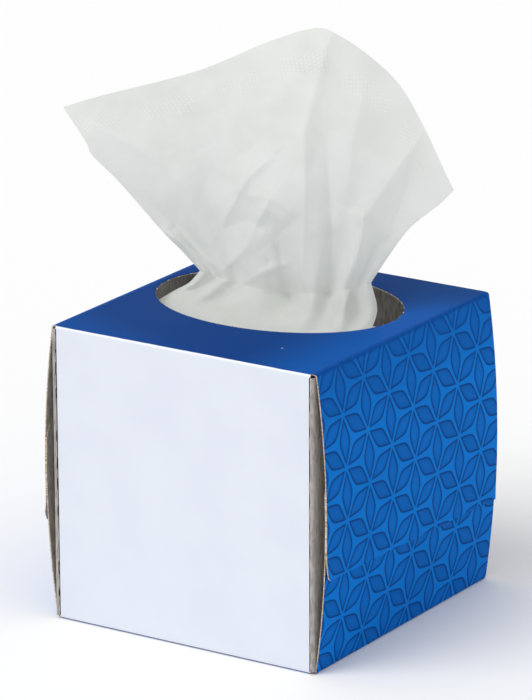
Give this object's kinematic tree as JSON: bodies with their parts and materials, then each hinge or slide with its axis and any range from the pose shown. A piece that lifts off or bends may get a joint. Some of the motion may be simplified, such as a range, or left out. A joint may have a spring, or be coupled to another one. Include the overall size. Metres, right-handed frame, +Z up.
{
  "type": "tissue box",
  "caption": "Upright cube tissue box: a folded board carton with an oval hole in its top, a stack of interfolded sheets inside and one sheet pulled up ready to take.",
  "frame": {"origin": "middle of the bottom panel, on the surface that the box stands on", "axes": "+Z up; X along the carton's tube from one glued end to the other; -Y towards the plain front panel"},
  "size_m": [0.1474, 0.126, 0.2273],
  "materials": {
    "printed_board": "satin varnished print on coated folding boxboard, grey inside",
    "stacked_tissue": "soft matt two-ply tissue",
    "tissue_paper": "soft matt two-ply tissue, slightly translucent"
  },
  "bodies": {
    "root": {"carton": "printed_board", "tissue_stack": "stacked_tissue", "leading_tissue": "tissue_paper"}
  },
  "joints": []
}
